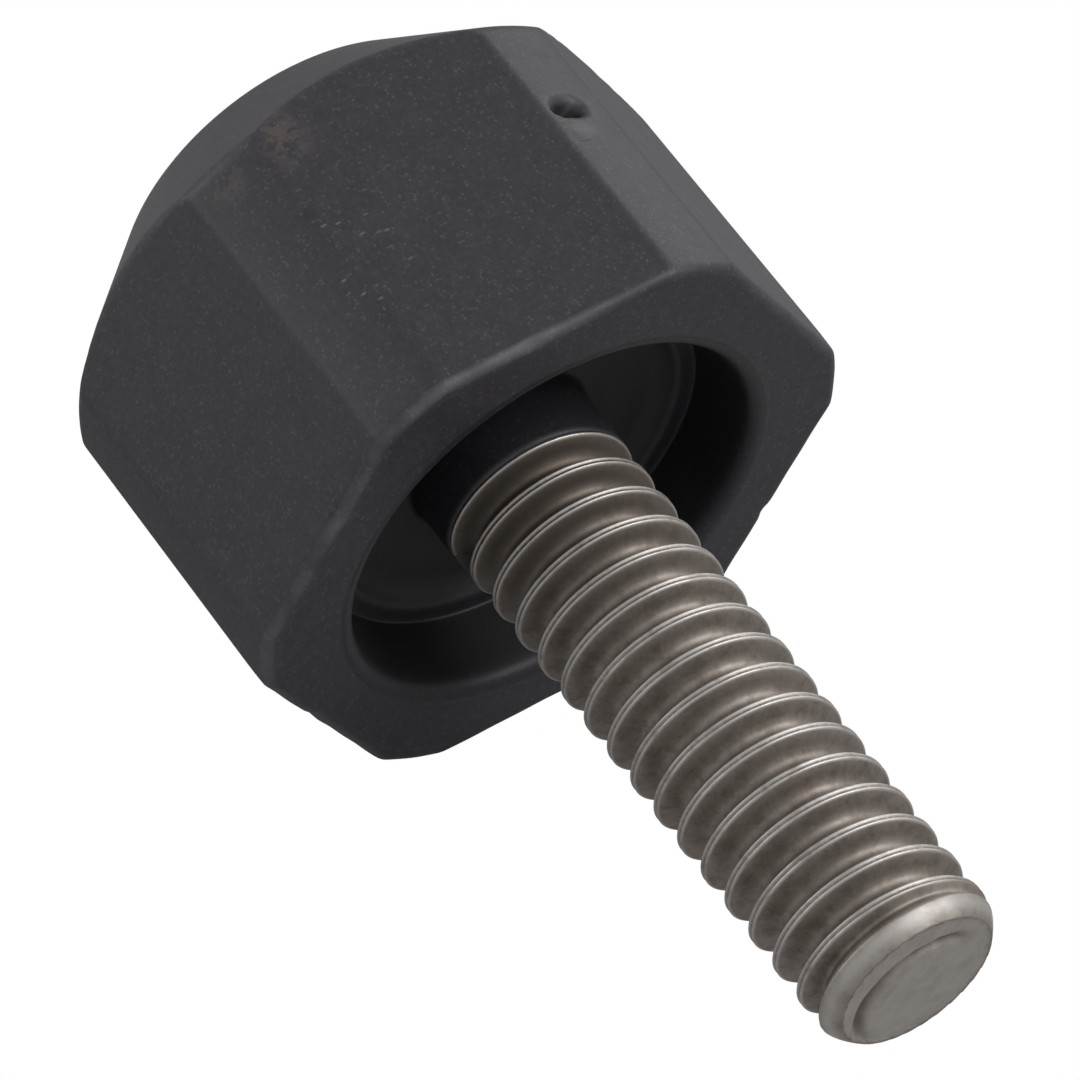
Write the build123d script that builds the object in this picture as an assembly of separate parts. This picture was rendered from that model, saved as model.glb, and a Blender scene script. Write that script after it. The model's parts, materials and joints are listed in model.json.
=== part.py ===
"""Impeller screw: a black moulded hex head on a stainless screw, lying on one flat.

Lengths are millimetres.  Each piece is modelled about the screw's own axis, with
z = 0 on the underside of the head, the thread towards +z and the head towards -z.
lay_down() then turns the pair on to one flat: +X runs along the thread to its tip
and +Z is up, with the origin under the middle of the whole screw.
"""

from build123d import *
import os

# ---- moulded head, outside ----
HEAD_ACROSS_FLATS = 19.0
CORNER_STANDOUT = 0.825
HEAD_CORNER_DIA = HEAD_ACROSS_FLATS + 2 * CORNER_STANDOUT
HEAD_HEIGHT = 15.25
CONE_RUN = 4.225
CONE_TOP_DIA = HEAD_CORNER_DIA - 2 * CONE_RUN
CONE_DROP = 4.2
CORNER_EDGE_ROUND = 0.25
UNDERSIDE_EDGE_ROUND = 0.35
CONE_FOOT_ROUND = 0.8
CONE_TOP_ROUND = 1.2

# ---- moulded head, round recess in the underside ----
MOUTH_DIA = 14.3
MOUTH_LIP_ROUND = 0.45
WALL_LEAN = 0.4
STEP_DEPTH = 2.65
STEP_OUTER_DIA = MOUTH_DIA - 2 * WALL_LEAN
STEP_WIDTH = 0.6
STEP_INNER_DIA = STEP_OUTER_DIA - 2 * STEP_WIDTH
STEP_EDGE_ROUND = 0.25
DISH_DEPTH = 3.1
DISH_RUN = 0.45
DISH_DIA = STEP_INNER_DIA - 2 * DISH_RUN
DISH_FOOT_ROUND = 2.5
RECESS_FLOOR_DEPTH = 3.35
COLLAR_TOP_DEPTH = 1.0

# ---- stainless screw, whose thread comes flush out of the collar ----
THREAD_MAJOR_DIA = 6.18
COLLAR_DIA = THREAD_MAJOR_DIA
FLOOR_SHARE_OF_DISH = 0.91 / 2.61
RECESS_FLOOR_DIA = COLLAR_DIA + (DISH_DIA - COLLAR_DIA) * FLOOR_SHARE_OF_DISH
SCREW_REACH = 19.5
TIP_CHAMFER_WIDTH = 0.49
TIP_FLAT_DIA = THREAD_MAJOR_DIA - 2 * TIP_CHAMFER_WIDTH
TIP_CHAMFER_LENGTH = 0.55
THREAD_STANDOUT = 0.39
SHANK_DIA = THREAD_MAJOR_DIA - 2 * THREAD_STANDOUT
SCREW_HEAD_FLATS = 11.1
SCREW_HEAD_HEIGHT = 4.0
SCREW_HEAD_COVER = 2.6


def turned_face(corners, rounds=()):
    """Half section from (radius, z) corners; rounds pairs a corner's index with a radius."""
    face = make_face(Polyline(*[(r, 0, z) for r, z in corners], close=True)).face()
    for index, radius in rounds:
        r, z = corners[index]
        nearest = face.vertices().sort_by_distance((r, 0, z))[0]
        face = face.fillet_2d(radius, [nearest])
    return face


def turned(corners, rounds=()):
    """Solid of revolution about Z of a half section."""
    return revolve(turned_face(corners, rounds), Axis.Z, 360)


def hexagon(across_flats):
    """Hexagon with a flat facing +x and another facing -x."""
    return RegularPolygon(across_flats / 2, 6, major_radius=False, rotation=30)


def head_blank():
    """Hexagon with its corners turned off and a cone at the top, all edges eased."""
    top = -HEAD_HEIGHT
    prism = extrude(Plane.XY.offset(top) * hexagon(HEAD_ACROSS_FLATS), HEAD_HEIGHT)
    corner_r = HEAD_CORNER_DIA / 2
    round_body = turned(
        [
            (0, top),
            (CONE_TOP_DIA / 2, top),
            (corner_r, top + CONE_DROP),
            (corner_r, 0),
            (0, 0),
        ],
        [(1, CONE_TOP_ROUND), (2, CONE_FOOT_ROUND)],
    )
    blank = prism & round_body
    blank = fillet(edges_beside_flats(blank), CORNER_EDGE_ROUND)
    outline = blank.faces().sort_by(Axis.Z)[-1].outer_wire().edges()
    return fillet(outline, UNDERSIDE_EDGE_ROUND)


def edges_beside_flats(blank):
    """Every edge between one of the six flats and the turned surfaces."""
    chosen = []
    for face in blank.faces().filter_by(GeomType.PLANE):
        if abs(face.normal_at().Z) > 0.5:
            continue
        chosen += [e for e in face.edges() if e.center().Z < -0.01]
    return chosen


def recess():
    """The space moulded into the underside, round the collar and over its top."""
    floor_width = (RECESS_FLOOR_DIA - COLLAR_DIA) / 2
    foot_round = min(DISH_FOOT_ROUND, 3 * floor_width)
    return turned(
        [
            (0, 1),
            (MOUTH_DIA / 2, 1),
            (MOUTH_DIA / 2, 0),
            (STEP_OUTER_DIA / 2, -STEP_DEPTH),
            (STEP_INNER_DIA / 2, -STEP_DEPTH),
            (DISH_DIA / 2, -DISH_DEPTH),
            (RECESS_FLOOR_DIA / 2, -RECESS_FLOOR_DEPTH),
            (COLLAR_DIA / 2, -RECESS_FLOOR_DEPTH),
            (COLLAR_DIA / 2, -COLLAR_TOP_DEPTH),
            (0, -COLLAR_TOP_DEPTH),
        ],
        [(3, 0.05), (4, STEP_EDGE_ROUND), (5, 1.3), (6, foot_round), (7, 0.25)],
    )


def make_screw():
    """The screw: thread envelope, plain shank and the hexagon anchored in the moulding."""
    thread_r = THREAD_MAJOR_DIA / 2
    neck_r = SHANK_DIA / 2
    anchor_end = -(HEAD_HEIGHT - SCREW_HEAD_COVER)
    anchor_face = anchor_end + SCREW_HEAD_HEIGHT
    stem = turned(
        [
            (0, anchor_face - 1),
            (neck_r, anchor_face - 1),
            (neck_r, -COLLAR_TOP_DEPTH),
            (thread_r, -COLLAR_TOP_DEPTH),
            (thread_r, SCREW_REACH - TIP_CHAMFER_LENGTH),
            (TIP_FLAT_DIA / 2, SCREW_REACH),
            (0, SCREW_REACH),
        ]
    )
    anchor = extrude(Plane.XY.offset(anchor_end) * hexagon(SCREW_HEAD_FLATS), SCREW_HEAD_HEIGHT)
    return stem + anchor


def make_head(screw):
    """The moulding: blank less its recess, cast tight round the screw."""
    body = head_blank() - recess()
    lip = [
        e
        for e in body.edges().filter_by(GeomType.CIRCLE)
        if abs(e.center().Z) < 1e-6 and abs(e.radius - MOUTH_DIA / 2) < 0.01
    ]
    body = fillet(lip, MOUTH_LIP_ROUND)
    return body - screw


def lay_down(piece):
    """Turn a piece from its own axis on to the flat it rests on."""
    middle = (SCREW_REACH - HEAD_HEIGHT) / 2
    return Pos(-middle, 0, HEAD_ACROSS_FLATS / 2) * Rot(0, 90, 0) * piece


def main():
    """Write one STEP file for each piece."""
    os.makedirs("parts", exist_ok=True)
    screw = make_screw()
    export_step(lay_down(make_head(screw)), "parts/moulded_head.step")
    export_step(lay_down(screw), "parts/threaded_screw.step")


main()
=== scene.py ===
"""Impeller screw: the look of the moulded head and the left-hand threaded screw.

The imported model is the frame.  The screw lies on one flat of its head, with the
thread along +X.  Both pieces are rebuilt here with their real edges, thread and
wear, inside the solids' own box, and carry procedural finishes.
"""

from __future__ import annotations

import json
import logging
import math
from dataclasses import dataclass, field
from enum import Enum
from typing import Any

import bpy
import numpy as np
from mathutils import Matrix, Vector

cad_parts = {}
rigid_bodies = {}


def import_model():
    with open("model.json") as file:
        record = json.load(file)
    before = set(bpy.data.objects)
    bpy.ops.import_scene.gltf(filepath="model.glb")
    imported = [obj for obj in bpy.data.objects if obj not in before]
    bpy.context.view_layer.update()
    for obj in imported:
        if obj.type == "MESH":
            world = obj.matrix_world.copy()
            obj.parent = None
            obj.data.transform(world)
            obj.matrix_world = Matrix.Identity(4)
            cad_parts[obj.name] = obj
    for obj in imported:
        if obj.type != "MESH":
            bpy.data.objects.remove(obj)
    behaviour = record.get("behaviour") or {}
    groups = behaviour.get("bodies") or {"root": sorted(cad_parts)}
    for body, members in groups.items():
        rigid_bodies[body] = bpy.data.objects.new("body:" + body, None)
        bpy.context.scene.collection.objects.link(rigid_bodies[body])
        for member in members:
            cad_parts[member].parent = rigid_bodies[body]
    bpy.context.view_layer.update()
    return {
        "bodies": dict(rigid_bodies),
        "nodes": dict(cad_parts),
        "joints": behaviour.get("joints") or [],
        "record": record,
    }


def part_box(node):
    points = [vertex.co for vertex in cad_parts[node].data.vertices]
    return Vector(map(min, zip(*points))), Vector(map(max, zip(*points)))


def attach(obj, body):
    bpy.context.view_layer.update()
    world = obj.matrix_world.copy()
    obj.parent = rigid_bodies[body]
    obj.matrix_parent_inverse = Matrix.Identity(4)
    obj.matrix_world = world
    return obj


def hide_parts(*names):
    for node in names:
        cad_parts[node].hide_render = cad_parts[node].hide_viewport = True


MM = 0.001
EDGE_WAVE = 0.018
LOG = logging.getLogger("impeller_screw")


class Hand(Enum):
    """Which way a thread winds."""

    RIGHT = 1.0
    LEFT = -1.0


# ---------------------------------------------------------------- node helpers


class Wire:
    """A node output that takes part in ordinary arithmetic."""

    def __init__(self, tree: "Tree", socket: bpy.types.NodeSocket) -> None:
        """Keep the tree and the output socket."""
        self.tree = tree
        self.socket = socket

    def _maths(self, operation: str, a: Any, b: Any = 0.0) -> "Wire":
        """Add one Math node."""
        return self.tree.maths(operation, a, b)

    def __add__(self, other: Any) -> "Wire":
        """self + other."""
        return self._maths("ADD", self, other)

    def __radd__(self, other: Any) -> "Wire":
        """other + self."""
        return self._maths("ADD", other, self)

    def __sub__(self, other: Any) -> "Wire":
        """self - other."""
        return self._maths("SUBTRACT", self, other)

    def __rsub__(self, other: Any) -> "Wire":
        """other - self."""
        return self._maths("SUBTRACT", other, self)

    def __mul__(self, other: Any) -> "Wire":
        """self * other."""
        return self._maths("MULTIPLY", self, other)

    def __rmul__(self, other: Any) -> "Wire":
        """other * self."""
        return self._maths("MULTIPLY", other, self)

    def __truediv__(self, other: Any) -> "Wire":
        """self / other."""
        return self._maths("DIVIDE", self, other)

    def __pow__(self, other: Any) -> "Wire":
        """self ** other."""
        return self._maths("POWER", self, other)

    def least(self, other: Any) -> "Wire":
        """The smaller of self and other."""
        return self._maths("MINIMUM", self, other)

    def most(self, other: Any) -> "Wire":
        """The larger of self and other."""
        return self._maths("MAXIMUM", self, other)

    def fraction(self) -> "Wire":
        """self less its whole part."""
        return self._maths("FRACT", self)

    def clamped(self) -> "Wire":
        """self held between 0 and 1."""
        return self.least(1.0).most(0.0)

    def ramp(self, low: float, high: float) -> "Wire":
        """Smooth step from 0 at low to 1 at high.

        Args:
            low: Value that gives 0.
            high: Value that gives 1; it may be below low.

        Returns:
            The stepped value.
        """
        node = self.tree.node(
            "ShaderNodeMapRange",
            {"interpolation_type": "SMOOTHSTEP"},
            {"Value": self, "From Min": low, "From Max": high, "To Min": 0.0, "To Max": 1.0},
        )
        return self.tree.out(node, "Result")


class Tree:
    """A node tree that is built by calls."""

    def __init__(self, tree: bpy.types.NodeTree) -> None:
        """Keep the tree."""
        self.tree = tree

    def node(
        self, kind: str, settings: dict[str, Any] | None = None, inputs: dict[Any, Any] | None = None
    ) -> Any:
        """Add a node.

        Args:
            kind: The node's type.
            settings: Properties, set before the inputs.
            inputs: Socket names or numbers, with values or wires.

        Returns:
            The node.
        """
        node = self.tree.nodes.new(kind)
        for name, value in (settings or {}).items():
            setattr(node, name, value)
        for name, value in (inputs or {}).items():
            self.feed(node.inputs[name], value)
        return node

    def feed(self, socket: bpy.types.NodeSocket, value: Any) -> None:
        """Link a wire to a socket, or set its value."""
        if isinstance(value, Wire):
            self.tree.links.new(value.socket, socket)
        elif value is not None:
            socket.default_value = value

    def out(self, node: Any, name: Any = 0) -> Wire:
        """The wire from one of a node's outputs."""
        return Wire(self, node.outputs[name])

    def maths(self, operation: str, a: Any, b: Any = 0.0) -> Wire:
        """Add a Math node on numbers or wires."""
        return self.out(self.node("ShaderNodeMath", {"operation": operation}, {0: a, 1: b}))


class Paint(Tree):
    """A material's shader tree."""

    def __init__(self, name: str) -> None:
        """Start an empty material with Object coordinates in millimetres."""
        self.material = bpy.data.materials.new(name)
        self.material.use_nodes = True
        self.material.node_tree.nodes.clear()
        super().__init__(self.material.node_tree)
        place = self.out(self.node("ShaderNodeTexCoord"), "Object")
        self.mm = self.vector("SCALE", place, scale=1000.0)

    def vector(self, operation: str, a: Any, b: Any = None, scale: float | None = None) -> Wire:
        """Add a Vector Math node."""
        node = self.node("ShaderNodeVectorMath", {"operation": operation}, {0: a})
        if b is not None:
            self.feed(node.inputs[1], b)
        if scale is not None:
            node.inputs["Scale"].default_value = scale
        return self.out(node, "Value" if operation in ("LENGTH", "DISTANCE", "DOT_PRODUCT") else "Vector")

    def stretched(self, factors: tuple[float, float, float]) -> Wire:
        """The position with each axis multiplied by its own factor."""
        return self.vector("MULTIPLY", self.mm, factors)

    def noise(self, size_mm: float, detail: float = 3.0, rough: float = 0.55, at: Wire | None = None) -> Wire:
        """Noise from 0 to 1.

        Args:
            size_mm: Rough size of its features.
            detail: Octaves.
            rough: Strength of the finer octaves.
            at: Where it is read, if not the plain position.

        Returns:
            The noise value.
        """
        node = self.node(
            "ShaderNodeTexNoise",
            {"noise_dimensions": "3D"},
            {"Vector": at or self.mm, "Scale": 1.0 / size_mm, "Detail": detail, "Roughness": rough},
        )
        return self.out(node, "Fac")

    def cells(self, size_mm: float, output: str = "Distance", at: Wire | None = None) -> Wire:
        """Voronoi cells of about that size."""
        node = self.node(
            "ShaderNodeTexVoronoi", {"feature": "F1"}, {"Vector": at or self.mm, "Scale": 1.0 / size_mm}
        )
        return self.out(node, output)

    def attribute(self, name: str) -> Wire:
        """A number that the piece's mesh holds at its points."""
        return self.out(self.node("ShaderNodeAttribute", {"attribute_name": name}), "Fac")

    def blend(self, a: Any, b: Any, factor: Any) -> Wire:
        """Mix two colours."""
        node = self.node("ShaderNodeMix", {"data_type": "RGBA"})
        self.feed(node.inputs["Factor"], factor)
        self.feed(node.inputs[6], a if isinstance(a, Wire) else (*a, 1.0))
        self.feed(node.inputs[7], b if isinstance(b, Wire) else (*b, 1.0))
        return self.out(node, 2)

    def bump(
        self, height: Wire, distance_mm: float, strength: float = 1.0, under: Wire | None = None
    ) -> Wire:
        """Bump from a height that runs from 0 to 1."""
        settings = {"Height": height, "Strength": strength, "Distance": distance_mm * MM}
        node = self.node("ShaderNodeBump", {}, settings)
        if under is not None:
            self.feed(node.inputs["Normal"], under)
        return self.out(node)

    def surface(self, **inputs: Any) -> bpy.types.Material:
        """End in a Principled shader.

        Args:
            inputs: Socket names, with _ for a space, and their values or wires.

        Returns:
            The material.
        """
        named = {name.replace("_", " "): value for name, value in inputs.items()}
        shader = self.node("ShaderNodeBsdfPrincipled", {}, named)
        self.node("ShaderNodeOutputMaterial", {}, {"Surface": self.out(shader)})
        return self.material


# --------------------------------------------------------------------- finishes


@dataclass(frozen=True)
class MouldedPlastic:
    """Matte black moulding with fine glass fibre in it, stained and rubbed in places, with painted shade in
    its recess and in its deep pit.
    """

    base: tuple[float, float, float] = (0.0150, 0.0138, 0.0200)
    grey: tuple[float, float, float] = (0.0260, 0.0245, 0.0330)
    fleck: tuple[float, float, float] = (0.085, 0.083, 0.100)
    rubbed: tuple[float, float, float] = (0.20, 0.195, 0.205)
    tan: tuple[float, float, float] = (0.080, 0.062, 0.054)
    # Painted shade colour, laid into the recess and into the deep pit.
    shade: tuple[float, float, float] = (0.0060, 0.0050, 0.0050)
    roughness: float = 0.50

    def paint(self) -> bpy.types.Material:
        """Build the material.

        Returns:
            The finished material.
        """
        p = Paint("moulded_black")
        cloud = p.noise(0.9, 4.0, 0.6)
        mottle = p.noise(0.17, 4.0, 0.65)
        colour = p.blend(self.base, self.grey, cloud.ramp(0.35, 0.70) * 0.35 + mottle.ramp(0.36, 0.68) * 0.65)
        flecks = p.cells(0.15).ramp(0.42, 0.12) * p.noise(0.34, 2.0).ramp(0.46, 0.60)
        drawn_out = p.cells(0.17, at=p.stretched((0.30, 1.0, 1.0)))
        streaks = drawn_out.ramp(0.28, 0.08) * p.noise(0.6, 2.0).ramp(0.52, 0.64)
        specks = (flecks + streaks).clamped()
        colour = p.blend(colour, self.fleck, specks * 0.42)
        # Painted shade: the recess, its ledge, collar and bore are darkened by the stored painted recess
        # shade amount.
        colour = p.blend(colour, self.shade, p.attribute("painted_recess_shade") * 0.85)
        stain = (p.attribute("stain") * p.noise(0.55, 4.0, 0.7).ramp(0.40, 0.56)).clamped()
        colour = p.blend(colour, self.tan, stain * 0.60)
        edge = p.attribute("wear") * p.noise(1.6, 4.0, 0.6).ramp(0.18, 0.70)
        marks = p.cells(0.24, at=p.stretched((1.0, 0.40, 0.40))).ramp(0.26, 0.07)
        scuff = p.attribute("scuff") * marks * p.noise(0.45, 3.0).ramp(0.44, 0.58)
        rubbed = (edge * 0.30 + scuff * 0.60).clamped()
        colour = p.blend(colour, self.rubbed, rubbed)
        # Painted shade inside the deep pit, where a dent goes in further than 0.1 mm.
        colour = p.blend(colour, self.shade, p.attribute("painted_dent_shade"))
        rough = self.roughness + (cloud - 0.5) * 0.12 + rubbed * 0.12 + stain * 0.08
        grain = p.bump(p.noise(0.08, 3.0, 0.65), 0.010, 0.55)
        normal = p.bump((specks * 0.6 + rubbed * 0.6).clamped(), 0.010, 0.35, grain)
        return p.surface(Base_Color=colour, Roughness=rough, Normal=normal, Specular_IOR_Level=0.42)


@dataclass(frozen=True)
class DullStainless:
    """Rolled stainless thread, dull on its flanks and rubbed bright on its crests, with a painted highlight
    along the crests and painted shade near the head, in the crest seam and in the tip's groove.
    """

    steel: tuple[float, float, float] = (0.310, 0.278, 0.248)
    # Darker colour for the random film, also used as painted shade.
    grime_and_shade: tuple[float, float, float] = (0.120, 0.098, 0.080)
    # Lighter crest colour: rubbed metal and a painted highlight.
    crest: tuple[float, float, float] = (0.58, 0.565, 0.55)
    roughness: float = 0.60

    def paint(self) -> bpy.types.Material:
        """Build the material.

        Returns:
            The finished material.
        """
        p = Paint("dull_stainless")
        height = p.attribute("height")
        cloud = p.noise(0.7, 4.0, 0.65)
        fine = p.noise(0.16, 3.0, 0.6)
        film = cloud.ramp(0.38, 0.70) * 0.45 + fine.ramp(0.45, 0.7) * 0.20
        colour = p.blend(self.steel, self.grime_and_shade, film)
        # Crests lighter: partly rubbed bright metal, partly a painted highlight along each crest.
        crest_wear_and_highlight = height.ramp(0.86, 1.0) * cloud.ramp(0.22, 0.55) * 0.8
        colour = p.blend(colour, self.crest, (crest_wear_and_highlight + p.attribute("tip") * 0.55).clamped())
        # Painted shade along the crease of the crest seam.
        seam = p.attribute("seam") * fine.ramp(0.30, 0.55)
        across = p.out(p.node("ShaderNodeSeparateXYZ", {}, {0: p.mm}), "X")
        # Painted shade: flanks and roots darker towards the head.
        shaded = across.ramp(5.0, -3.0) * height.ramp(1.0, 0.80) * 0.80
        # The seam, the tip's groove and the head's end of the thread take painted shade here.
        colour = p.blend(colour, self.grime_and_shade, (seam * 0.55 + p.attribute("groove") * 0.8 + shaded).clamped())
        rough = self.roughness + (cloud - 0.5) * 0.20 - height.ramp(0.86, 1.0) * 0.14
        normal = p.bump(fine, 0.008, 0.5)
        return p.surface(Base_Color=colour, Roughness=rough, Metallic=1.0, Normal=normal)


# ----------------------------------------------------------------------- pieces


def mesh_object(name: str, points: np.ndarray, faces: list[tuple[int, ...]]) -> bpy.types.Object:
    """Make a smooth-shaded object.

    Args:
        name: The piece's name.
        points: Rows of x, y, z in metres.
        faces: Corner numbers of each face.

    Returns:
        The object, linked to the scene.
    """
    mesh = bpy.data.meshes.new(name)
    mesh.from_pydata([tuple(p) for p in points.tolist()], [], faces)
    mesh.update()
    mesh.shade_smooth()
    piece = bpy.data.objects.new(name, mesh)
    bpy.context.scene.collection.objects.link(piece)
    return piece


@dataclass
class ThreadedScrew:
    """The stainless screw: a left-hand rolled thread with an eased tip."""

    pitch: float = 1.27
    depth: float = 0.74
    start: float = -2.40
    tip_radius: float = 2.60
    tip_ease: float = 0.85
    hand: Hand = Hand.LEFT
    phase: float = 0.448
    around: int = 96
    across: int = 32
    finish: DullStainless = field(default_factory=DullStainless)

    def measure(self) -> None:
        """Read the solid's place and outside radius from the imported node."""
        low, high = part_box("threaded_screw")
        head_low, head_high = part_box("moulded_head")
        self.rim_x = head_high[0] / MM
        self.axis_z = (head_low[2] + head_high[2]) / 2 / MM
        self.reach = high[0] / MM - self.rim_x
        rim = frame_mount("thread")
        self.major = rim["dims"]["r_mm"]

    def profile_points(self) -> list[tuple[float, float]]:
        """Height across one pitch, crest at 0 and 1, root at a half: (place, height)."""
        crest = [(0.0, 0.90), (0.025, 0.93), (0.06, 1.0), (0.095, 0.955)]
        half = crest + [(0.15, 0.78), (0.33, 0.15), (0.42, 0.03), (0.5, 0.0)]
        return half + [(1.0 - place, height) for place, height in reversed(half[:-1])]

    def grow(self) -> bpy.types.NodeTree:
        """Build the geometry tree that winds the thread.

        Returns:
            The node group.
        """
        group = bpy.data.node_groups.new("wind_thread", "GeometryNodeTree")
        face = group.interface
        face.new_socket("Geometry", in_out="OUTPUT", socket_type="NodeSocketGeometry")
        sizes = {
            "Pitch": self.pitch,
            "Depth": self.depth,
            "Outside Radius": self.major,
            "Start": self.start,
            "Reach": self.reach,
            "Tip Radius": self.tip_radius,
            "Tip Ease": self.tip_ease,
            "Hand": self.hand.value,
            "Phase": self.phase,
            "Rim": self.rim_x,
            "Axis Height": self.axis_z,
        }
        for name, value in sizes.items():
            socket = face.new_socket(name, in_out="INPUT", socket_type="NodeSocketFloat")
            socket.default_value = value
        face.new_socket("Finish", in_out="INPUT", socket_type="NodeSocketMaterial")
        t = Tree(group)
        given = t.node("NodeGroupInput")
        size = {name: t.out(given, name) for name in sizes}
        turns = math.ceil((self.reach - self.start) / self.pitch) + 3
        grid = t.node(
            "GeometryNodeMeshGrid",
            {},
            {
                "Size X": 1.0,
                "Size Y": 1.0,
                "Vertices X": turns * self.around + 1,
                "Vertices Y": self.across + 1,
            },
        )
        place = t.node("ShaderNodeSeparateXYZ", {}, {0: t.out(t.node("GeometryNodeInputPosition"))})
        turn = (t.out(place, "X") + 0.5) * float(turns)
        across = t.out(place, "Y") + 0.5
        along = size["Start"] - size["Pitch"] + (turn + across - 1.0) * size["Pitch"]
        held = along.most(size["Start"]).least(size["Reach"])
        beyond = (size["Start"] - along).most(along - size["Reach"]).most(0.0)
        place_in_pitch = ((held - size["Start"]) / size["Pitch"] - turn + 100.0).fraction()
        curve = t.node("ShaderNodeFloatCurve", {}, {"Value": place_in_pitch})
        self.shape(curve)
        height = t.out(curve, "Value")
        run_out = (held - size["Reach"]).ramp(-1.35, -0.45)
        thread = size["Outside Radius"] - size["Depth"] * (1.0 - height) * (1.0 - run_out)
        into_ease = ((held - size["Reach"] + size["Tip Ease"]) / size["Tip Ease"]).clamped()
        blank = size["Outside Radius"] - (size["Outside Radius"] - size["Tip Radius"]) * (into_ease ** 1.6)
        radius = thread.least(blank) * (1.0 - beyond / size["Pitch"] * 1.05).most(0.0)
        angle = (turn * size["Hand"] + size["Phase"]) * (2.0 * math.pi)
        spot = t.node(
            "ShaderNodeCombineXYZ",
            {},
            {
                0: (held + size["Rim"]) * MM,
                1: radius * t.maths("COSINE", angle) * MM,
                2: (radius * t.maths("SINE", angle) + size["Axis Height"]) * MM,
            },
        )
        shown_height = height * (1.0 - run_out) + run_out * 0.6
        kept = t.node(
            "GeometryNodeStoreNamedAttribute",
            {"data_type": "FLOAT", "domain": "POINT"},
            {"Geometry": t.out(grid, "Mesh"), "Name": "height", "Value": shown_height},
        )
        # The crest seam, which the finish darkens as painted shade.
        seam = place_in_pitch.least(1.0 - place_in_pitch).ramp(0.040, 0.015) * (1.0 - run_out)
        seamed = t.node(
            "GeometryNodeStoreNamedAttribute",
            {"data_type": "FLOAT", "domain": "POINT"},
            {"Geometry": t.out(kept), "Name": "seam", "Value": seam},
        )
        moved = t.node("GeometryNodeSetPosition", {}, {"Geometry": t.out(seamed), "Position": t.out(spot)})
        merged = t.node("GeometryNodeMergeByDistance", {}, {"Geometry": t.out(moved), "Distance": 2e-6})
        smooth = t.node("GeometryNodeSetShadeSmooth", {}, {"Geometry": t.out(merged)})
        real = t.node("GeometryNodeRealizeInstances", {}, {"Geometry": t.out(smooth)})
        dressed = t.node(
            "GeometryNodeSetMaterial", {}, {"Geometry": t.out(real), "Material": t.out(given, "Finish")}
        )
        t.node("NodeGroupOutput", {}, {0: t.out(dressed)})
        return group

    def work_tip(self, mesh: bpy.types.Mesh) -> None:
        """Roll the end: a crescent groove inside its shoulder and an uneven middle.

        Args:
            mesh: The wound thread.
        """
        points = points_of(mesh)
        along = points[:, 0] - self.rim_x - self.reach
        y, z = points[:, 1], points[:, 2] - self.axis_z
        radius = np.hypot(y, z)
        angle = np.degrees(np.arctan2(z + 0.75, y - 0.25)) % 360.0
        from_crescent = np.hypot(y - 0.25, z + 0.75) - 2.22
        sweep = np.exp(-(((angle - 128.0) / 74.0) ** 6))
        end = along > -0.004
        groove = 0.26 * np.exp(-((from_crescent / 0.17) ** 2)) * sweep
        ripple = 0.018 * np.sin(y * 3.1 + 0.6) * np.sin(z * 2.7 + 1.1) + 0.012 * np.sin(y * 7.3 - z * 5.9)
        middle = 0.05 * np.clip(radius / 2.4, 0.0, 1.0) ** 2
        points[:, 0] -= np.where(end, groove + middle + ripple + 0.03, 0.0)
        mesh.vertices.foreach_set("co", (points * MM).ravel())
        mesh.update()
        # For the finish: a lighter band and end face, held back in the groove, and the groove's painted
        # shade.
        band = np.exp(-(((along + 0.40) / 0.24) ** 2)) * (radius > 2.3)
        face = np.where(end, 0.75 - groove * 2.2, 0.0)
        for name, values in (("tip", np.maximum(band, face)), ("groove", np.where(end, groove / 0.26, 0.0))):
            layer = mesh.attributes.new(name, "FLOAT", "POINT")
            layer.data.foreach_set("value", np.clip(values, 0.0, 1.0).astype(np.float32))

    def shape(self, curve: Any) -> None:
        """Set the float curve to the thread's section."""
        line = curve.mapping.curves[0]
        stops = self.profile_points()
        while len(line.points) < len(stops):
            line.points.new(0.5, 0.5)
        for point, (place, height) in zip(line.points, stops):
            point.location = (place, height)
            point.handle_type = "AUTO"
        curve.mapping.update()

    def build(self) -> bpy.types.Object:
        """Wind the thread and dress it.

        Returns:
            The finished piece.
        """
        self.measure()
        material = self.finish.paint()
        group = self.grow()
        holder = mesh_object("screw_thread_grower", np.zeros((1, 3)), [])
        grower = holder.modifiers.new("wind", "NODES")
        grower.node_group = group
        for item in group.interface.items_tree:
            if item.item_type == "SOCKET" and item.in_out == "INPUT" and item.name == "Finish":
                grower[item.identifier] = material
        depth = bpy.context.evaluated_depsgraph_get()
        mesh = bpy.data.meshes.new_from_object(holder.evaluated_get(depth), depsgraph=depth)
        mesh.name = "threaded_stud"
        piece = bpy.data.objects.new("threaded_stud", mesh)
        bpy.context.scene.collection.objects.link(piece)
        bpy.data.objects.remove(holder)
        self.work_tip(piece.data)
        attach(piece, "root")
        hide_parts("threaded_screw")
        return piece


def points_of(mesh: bpy.types.Mesh) -> np.ndarray:
    """Every point of a mesh, in millimetres."""
    flat = np.empty(len(mesh.vertices) * 3)
    mesh.vertices.foreach_get("co", flat)
    return flat.reshape(-1, 3) / MM


def frame_mount(name: str) -> dict[str, Any]:
    """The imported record's mount of that name."""
    return next(m for m in FRAME["record"]["mounts"] if m["name"] == name)


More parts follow.
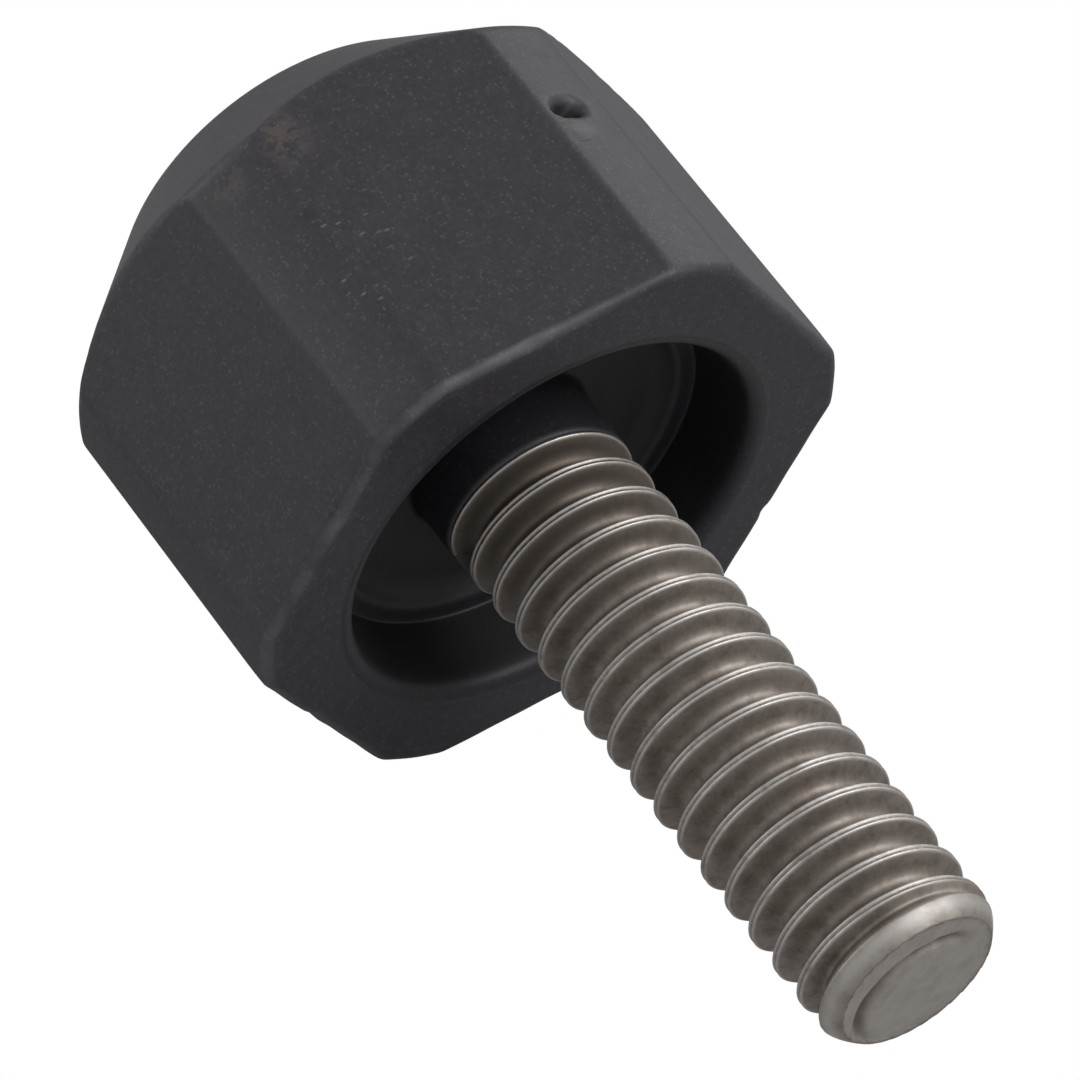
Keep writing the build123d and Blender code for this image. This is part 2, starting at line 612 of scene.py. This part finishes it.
@dataclass(frozen=True)
class HeadShape:
    """The head's section in millimetres, measured from its rim back along the screw."""

    flat: float = 9.5
    corner: float = 10.325
    height: float = 15.25
    cone_top: float = 6.1
    cone_foot: float = -11.05
    edge_round: float = 0.35
    lip: float = 7.6
    mouth: float = 7.15
    collar: float = 3.11
    collar_bore: float = 2.2
    crest_line: float = -0.95
    step_angle: float = 196.0
    step_width: float = 14.0
    pitch: float = 1.27

    def rounded(
        self,
        corner: tuple[float, float],
        before: tuple[float, float],
        after: tuple[float, float],
        ease: float,
        count: int,
    ) -> list[tuple[float, float]]:
        """Points of a soft curve in place of a corner.

        Args:
            corner: The sharp corner, as (radius, place).
            before: A point on the line into it.
            after: A point on the line out of it.
            ease: How far from the corner the curve starts and ends.
            count: How many points it has.

        Returns:
            The curve's points, as (radius, place).
        """
        tip, first, last = (np.array(v, dtype=float) for v in (corner, before, after))
        start = tip + (first - tip) / np.linalg.norm(first - tip) * ease
        end = tip + (last - tip) / np.linalg.norm(last - tip) * ease
        steps = np.linspace(0.0, 1.0, count)[:, None]
        curve = (1 - steps) ** 2 * start + 2 * steps * (1 - steps) * tip + steps**2 * end
        return [tuple(point) for point in curve]

    def outer_rows(self) -> list[tuple[float, float]]:
        """The crown, cone and side as (radius, place), from the far pole to the underside."""
        top = -self.height
        rows = [(r, top) for r in np.linspace(0.35, self.cone_top - 0.75, 9)]
        rows += self.rounded((self.cone_top, top), (0.0, top), (self.corner, self.cone_foot), 0.55, 8)
        rise = np.linspace(0.14, 0.92, 18)[:, None]
        line = (1 - rise) * np.array([self.cone_top, top]) + rise * np.array([self.corner, self.cone_foot])
        rows += [tuple(point) for point in line]
        rows += self.rounded((self.corner, self.cone_foot), (self.cone_top, top), (self.corner, 0.0), 0.33, 7)
        rows += [(self.corner, z) for z in np.linspace(self.cone_foot + 0.5, -self.edge_round, 64)]
        return rows

    def inner_rows(self) -> list[tuple[float, float]]:
        """The lip, recess and collar wall as (radius, place), from the lip inwards."""
        rows = self.rounded((self.mouth, 0.0), (self.lip, 0.0), (6.75, -2.65), 0.45, 9)
        rows += [(self.mouth - 0.4 * (-z) / 2.65, z) for z in np.linspace(-0.7, -2.55, 8)]
        rows += [(6.75, -2.63), (6.70, -2.65), (6.50, -2.65), (6.32, -2.65)]
        rows += self.rounded((6.15, -2.65), (6.75, -2.65), (5.7, -3.1), 0.12, 4)
        rows += self.rounded((5.7, -3.1), (6.15, -2.65), (4.0, -3.35), 0.45, 8)
        rows += [(5.0, -3.203), (4.75, -3.24), (4.5, -3.275)]
        rows += self.rounded((4.0, -3.35), (5.7, -3.1), (3.3, -3.35), 0.25, 5)
        rows += self.rounded((self.collar, -3.35), (4.0, -3.35), (self.collar, 0.0), 0.25, 6)
        return rows


@dataclass(frozen=True)
class Mark:
    """A small true dent (below 0) or lump (above 0) on the head's outside."""

    place: float
    angle: float
    long: float
    wide: float
    height: float

    def push(self, places: np.ndarray, angles: np.ndarray) -> np.ndarray:
        """How far each point moves out.

        Args:
            places: Distances along the screw from the rim.
            angles: Directions round the screw, in degrees.

        Returns:
            Outward moves in millimetres.
        """
        round_way = (angles - self.angle + 180.0) % 360.0 - 180.0
        along = (places - self.place) / self.long
        across = np.radians(round_way) * 10.3 / self.wide
        return self.height * np.exp(-((along**2 + across**2) ** 1.5))


@dataclass
class MouldedHead:
    """The black moulded head, from its flat top round to the collar in its recess."""

    columns: int = 504
    shape: HeadShape = field(default_factory=HeadShape)
    finish: MouldedPlastic = field(default_factory=MouldedPlastic)
    marks: tuple[Mark, ...] = (
        Mark(-7.30, 61.4, 0.55, 0.78, 0.12),
        Mark(-7.30, 61.4, 0.36, 0.56, -0.95),
        Mark(-6.30, 61.9, 0.32, 0.45, 0.16),
        Mark(-6.00, 62.8, 0.10, 0.50, -0.16),
        Mark(-5.10, 65.6, 0.55, 0.16, 0.05),
        Mark(-3.60, 66.2, 0.75, 0.18, 0.04),
        Mark(-9.60, 58.2, 0.22, 0.30, -0.06),
        Mark(-0.05, 205.0, 0.30, 0.45, -0.10),
        Mark(-0.05, 327.0, 0.25, 0.30, -0.10),
        Mark(-0.10, 143.0, 0.20, 0.50, -0.07),
        Mark(-0.08, 96.0, 0.16, 0.40, -0.06),
    )

    def angles(self) -> np.ndarray:
        """Directions round the screw in degrees, closer together beside the side edges."""
        fine = np.linspace(0.0, 360.0, 7201)
        from_corner = np.abs((fine + 30.0) % 60.0 - 30.0)
        to_edge = np.abs(30.0 - from_corner) - 23.06
        density = 1.0 + 2.6 * np.exp(-((to_edge / 1.0) ** 2))
        density += 1.3 * np.exp(-(((fine - 61.5) / 6.0) ** 4))
        total = np.concatenate([[0.0], np.cumsum((density[1:] + density[:-1]) / 2)])
        return np.interp(np.arange(self.columns) / self.columns * total[-1], total, fine)

    def outline(self, angles: np.ndarray, corner: float, inset: float) -> np.ndarray:
        """The hexagon with its corners turned off, moved in by an inset.

        Args:
            angles: Directions in degrees.
            corner: Radius of the turned surface here.
            inset: How far the outline is moved in.

        Returns:
            The radius in each direction, with the side edges eased.
        """
        local = np.radians((angles - 90.0 + 30.0) % 60.0 - 30.0)
        flat = (self.shape.flat - inset) / np.cos(local)
        turned = np.full_like(flat, corner - inset)
        soft = 0.07
        mix = np.clip(0.5 + 0.5 * (turned - flat) / soft, 0.0, 1.0)
        least = turned + (flat - turned) * mix - soft * mix * (1.0 - mix)
        return np.where(turned < flat - soft, turned, least)

    def crest_line(self, angles: np.ndarray) -> np.ndarray:
        """Where the collar ends: along the first crest, with a step of one turn where its groove opens."""
        turn = (angles - self.shape.step_angle) % 360.0 - 360.0 + self.shape.step_angle
        past = np.clip((turn + 360.0 - self.shape.step_angle) / self.shape.step_width, 0.0, 1.0)
        line = self.shape.crest_line - self.shape.pitch * (turn - 112.0) / 360.0
        return line - self.shape.pitch * (1.0 - past * past * (3.0 - 2.0 * past))

    def rows(self, angles: np.ndarray) -> tuple[np.ndarray, np.ndarray, np.ndarray, np.ndarray]:
        """Every row of the surface.

        Args:
            angles: The columns' directions in degrees.

        Returns:
            Radii and places of each row and column, and each row's wear and painted recess shade.
        """
        shape, radii, places, worn, inside = self.shape, [], [], [], []

        def add(radius: Any, place: Any, wear: float = 0.0, painted_recess_shade: float = 0.0) -> None:
            """Add one row."""
            radii.append(np.broadcast_to(radius, angles.shape).astype(float))
            places.append(np.broadcast_to(place, angles.shape).astype(float))
            worn.append(wear)
            inside.append(painted_recess_shade)

        for radius, place in shape.outer_rows():
            add(self.outline(angles, radius, 0.0), place)
        for turn in np.linspace(10.0, 90.0, 7):
            inset = shape.edge_round * (1.0 - math.cos(math.radians(turn)))
            place = -shape.edge_round * (1.0 - math.sin(math.radians(turn)))
            rubbed = math.sin(math.radians(turn * 2.0)) * 0.9 + 0.1
            add(self.outline(angles, shape.corner, inset), place, rubbed)
        edge = self.outline(angles, shape.corner, shape.edge_round)
        for share in np.linspace(0.06, 1.0, 16):
            add(edge + (shape.lip - edge) * share, 0.0, 0.12 if share < 0.1 else 0.0)
        for radius, place in shape.inner_rows():
            on_lip, on_ledge = place > -0.5, place < -2.6 and radius > 6.05
            # Painted shade in the recess: somewhat less on the lip and ledge, full on the wall and bowl.
            add(radius, place, 0.0, 0.55 if on_lip else 0.60 if on_ledge else 1.0)
        end = self.crest_line(angles)
        foot = shape.inner_rows()[-1][1]
        # The collar's rows carry painted shade too, full in its bore.
        for share in (0.25, 0.5, 0.75, 0.92):
            add(shape.collar, foot + (end - 0.05 - foot) * share, 0.0, 0.6)
        add(shape.collar - 0.01, end - 0.05, 0.35, 0.5)
        add(shape.collar - 0.05, end - 0.01, 0.5, 0.5)
        add(shape.collar - 0.16, end, 0.4, 0.5)
        add(shape.collar_bore + 0.25, end - 0.02, 0.0, 1.0)
        add(shape.collar_bore, end - 0.06, 0.0, 1.0)
        for place in (-2.4, -2.9, -3.4):
            add(shape.collar_bore, place, 0.0, 1.0)
        add(1.0, -3.4, 0.0, 1.0)
        return np.array(radii), np.array(places), np.array(worn), np.array(inside)

    def build(self) -> bpy.types.Object:
        """Make the head's surface with its wear and dress it.

        Returns:
            The finished piece.
        """
        low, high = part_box("moulded_head")
        rim_x, axis_z = high[0] / MM, (low[2] + high[2]) / 2 / MM
        angles = self.angles()
        radii, places, worn, inside = self.rows(angles)
        grid = np.broadcast_to(angles, radii.shape)
        outside = (inside < 0.5)[:, None] & (radii > 8.4)
        dents = sum(mark.push(places, grid) for mark in self.marks)
        near_edge = np.exp(-(((places + 0.15) / 0.55) ** 2))
        wave = np.sin(np.radians(grid * 9.0)) * np.sin(np.radians(grid * 23.0 + 40.0))
        wavy = EDGE_WAVE * (wave - 1.0) * near_edge
        bumps = np.where(outside, dents + np.where(radii > 9.0, wavy, 0.0), 0.0)
        limit = self.outline(angles, self.shape.corner, 0.0)[None, :]
        radii = np.minimum(radii + bumps, limit)
        turn = np.radians(grid)
        points = np.stack([places + rim_x, radii * np.cos(turn), radii * np.sin(turn) + axis_z], axis=-1)
        count = radii.shape[0]
        poles = np.array([[rim_x - self.shape.height, 0.0, axis_z], [rim_x - 3.4, 0.0, axis_z]])
        rest = np.concatenate([points.reshape(-1, 3), poles]) * MM
        piece = mesh_object("moulded_head_shell", rest, self.faces(count))
        self.mark(piece, "wear", self.wear(grid, places, worn))
        self.mark(piece, "stain", self.stain(grid, places, inside))
        # Store the painted recess shade at each point.
        self.mark(piece, "painted_recess_shade", np.broadcast_to(inside[:, None], radii.shape))
        self.mark(piece, "scuff", self.scuff(grid, places, inside))
        # Painted shade in the deeper dents, mostly the pit.
        self.mark(piece, "painted_dent_shade", np.clip((-bumps - 0.10) / 0.25, 0.0, 1.0))
        piece.data.materials.append(self.finish.paint())
        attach(piece, "root")
        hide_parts("moulded_head")
        return piece

    def faces(self, count: int) -> list[tuple[int, ...]]:
        """Corner numbers of every face, outward, with both poles closed."""
        wide = self.columns
        step = np.arange(wide)
        after = (step + 1) % wide
        faces: list[tuple[int, ...]] = []
        for row in range(count - 1):
            a, b = row * wide, (row + 1) * wide
            faces += np.stack([a + step, b + step, b + after, a + after], axis=1).tolist()
        far, near, last = count * wide, count * wide + 1, (count - 1) * wide
        faces += [(far, int(i), int(j)) for i, j in zip(step, after)]
        faces += [(near, int(last + j), int(last + i)) for i, j in zip(step, after)]
        return [tuple(face) for face in faces]

    def mark(self, piece: bpy.types.Object, name: str, values: np.ndarray) -> None:
        """Store a number at each point, with 0 at the two poles."""
        layer = piece.data.attributes.new(name, "FLOAT", "POINT")
        layer.data.foreach_set("value", np.concatenate([values.ravel(), [0.0, 0.0]]).astype(np.float32))

    def wear(self, angles: np.ndarray, places: np.ndarray, worn: np.ndarray) -> np.ndarray:
        """Rubbed edges: the underside's outline, most on two sides, and the raised flash."""
        round_way = np.exp(-(((angles - 128.0) / 46.0) ** 4))
        round_way = round_way + 0.7 * np.exp(-(((angles - 205.0) / 40.0) ** 4))
        edge = worn[:, None] * (0.15 + 0.85 * round_way)
        raised = np.clip(sum(m.push(places, angles) for m in self.marks if m.height > 0.08) / 0.12, 0.0, 1.0)
        return np.clip(edge + 0.9 * raised, 0.0, 1.0)

    def scuff(self, angles: np.ndarray, places: np.ndarray, inside: np.ndarray) -> np.ndarray:
        """Fine scratches: a long patch near the upper left corner and a fainter one beside it."""
        patch = np.exp(-(((places + 5.4) / 2.6) ** 2) - (((angles - 114.0) / 6.0) ** 2))
        beside = 0.5 * np.exp(-(((places + 6.0) / 3.4) ** 2) - (((angles - 100.0) / 9.0) ** 2))
        strip = 0.5 * np.exp(-(((places + 5.0) / 2.8) ** 2) - (((angles - 65.0) / 2.0) ** 2))
        return np.where(inside[:, None] < 0.5, np.clip(patch + beside + strip, 0.0, 1.0), 0.0)

    def stain(self, angles: np.ndarray, places: np.ndarray, inside: np.ndarray) -> np.ndarray:
        """Brown stains near the cone on the upper flat and by its corner."""
        first = np.exp(-((((places + 10.6) / 1.25) ** 2 + ((angles - 108.6) / 4.2) ** 2) ** 1.5))
        second = np.exp(-((((places + 10.3) / 0.70) ** 2 + ((angles - 120.3) / 3.0) ** 2) ** 1.5))
        return np.where(inside[:, None] < 0.5, np.clip(first + 0.8 * second, 0.0, 1.0), 0.0)


# ------------------------------------------------------------------------ stage


@dataclass
class Studio:
    """The pale floor, the soft lamps and the camera."""

    azimuth: float = -33.78
    elevation: float = 53.9
    roll: float = 1.53
    away: float = 227.77
    aim: tuple[float, float, float] = (-1.507, -0.993, 10.011)
    lens: float = 251.66

    def build(self) -> None:
        """Set up the floor, the world, the lamps and the camera."""
        self.floor()
        self.world()
        self.lamps()
        self.camera()
        bpy.context.scene.view_settings.view_transform = "Standard"

    def seen_as_white(self, tree: Tree, lit: Wire) -> Wire:
        """Show a lit surface as plain white where it is looked at directly."""
        seen = tree.out(tree.node("ShaderNodeLightPath"), "Is Camera Ray")
        white = tree.node("ShaderNodeEmission", {}, {"Color": (1.0, 1.0, 1.0, 1.0), "Strength": 1.0})
        mixed = tree.node("ShaderNodeMixShader", {}, {0: seen, 1: lit, 2: tree.out(white)})
        return tree.out(mixed)

    def floor(self) -> None:
        """A pale floor under the screw."""
        size = 3.0
        corners = np.array([[-size, -size, 0], [size, -size, 0], [size, size, 0], [-size, size, 0]])
        floor = mesh_object("floor", corners, [(0, 1, 2, 3)])
        paint = Paint("pale_floor")
        lit = paint.node("ShaderNodeBsdfDiffuse", {}, {"Color": (0.42, 0.41, 0.41, 1.0)})
        both = self.seen_as_white(paint, paint.out(lit))
        paint.node("ShaderNodeOutputMaterial", {}, {"Surface": both})
        floor.data.materials.append(paint.material)

    def world(self) -> None:
        """A plain world: white where it is seen, softer as a light."""
        world = bpy.data.worlds.new("studio")
        bpy.context.scene.world = world
        world.use_nodes = True
        world.node_tree.nodes.clear()
        tree = Tree(world.node_tree)
        soft = tree.node("ShaderNodeBackground", {}, {"Color": (1.0, 1.0, 1.0, 1.0), "Strength": 0.58})
        seen = tree.node("ShaderNodeBackground", {}, {"Color": (1.0, 1.0, 1.0, 1.0), "Strength": 1.0})
        path = tree.node("ShaderNodeLightPath")
        looked_at = tree.out(path, "Is Camera Ray")
        mixed = tree.node("ShaderNodeMixShader", {}, {0: looked_at, 1: tree.out(soft), 2: tree.out(seen)})
        tree.node("ShaderNodeOutputWorld", {}, {"Surface": tree.out(mixed)})

    def lamp(self, name: str, place: tuple[float, float, float], size: float, power: float) -> None:
        """Add a soft square lamp that faces the screw.

        Args:
            name: The lamp's name.
            place: Where it stands, in metres.
            size: Its side, in metres.
            power: Its power, in watts.
        """
        light = bpy.data.lights.new(name, "AREA")
        light.shape = "SQUARE"
        light.size = size
        light.energy = power
        lamp = bpy.data.objects.new(name, light)
        aim = Vector((0.0, 0.0, 0.01)) - Vector(place)
        lamp.matrix_world = Matrix.Translation(place) @ aim.to_track_quat("-Z", "Y").to_matrix().to_4x4()
        bpy.context.scene.collection.objects.link(lamp)

    def lamps(self) -> None:
        """A key lamp above, and low ones beside and behind the head."""
        self.lamp("key_lamp", (0.25, 0.35, 0.45), 0.35, 2.4)
        self.lamp("side_lamp", (-0.22, 0.42, 0.07), 0.30, 0.70)
        self.lamp("back_lamp", (-0.42, -0.30, 0.12), 0.35, 1.0)

    def camera(self) -> None:
        """The camera that looks down on the screw as it lies."""
        data = bpy.data.cameras.new("camera")
        data.sensor_width = 36.0
        data.lens = self.lens
        data.clip_start = 0.01
        data.clip_end = 20.0
        camera = bpy.data.objects.new("camera", data)
        az, el = math.radians(self.azimuth), math.radians(self.elevation)
        back = Vector((math.cos(el) * math.cos(az), math.cos(el) * math.sin(az), math.sin(el)))
        aim = Vector(self.aim) * MM
        turn = (-back).to_track_quat("-Z", "Y").to_matrix().to_4x4()
        spin = Matrix.Rotation(math.radians(self.roll), 4, "Z")
        camera.matrix_world = Matrix.Translation(aim + back * self.away * MM) @ turn @ spin
        bpy.context.scene.collection.objects.link(camera)
        bpy.context.scene.camera = camera


FRAME: dict[str, Any] = {}


def main() -> None:
    """Build both pieces, then the studio, and report each piece."""
    logging.basicConfig(level=logging.INFO, format="%(name)s: %(message)s")
    FRAME.update(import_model())
    for maker in (MouldedHead(), ThreadedScrew()):
        piece = maker.build()
        LOG.info("%s: %d faces", piece.name, len(piece.data.polygons))
    Studio().build()


if __name__ == "__main__":
    main()
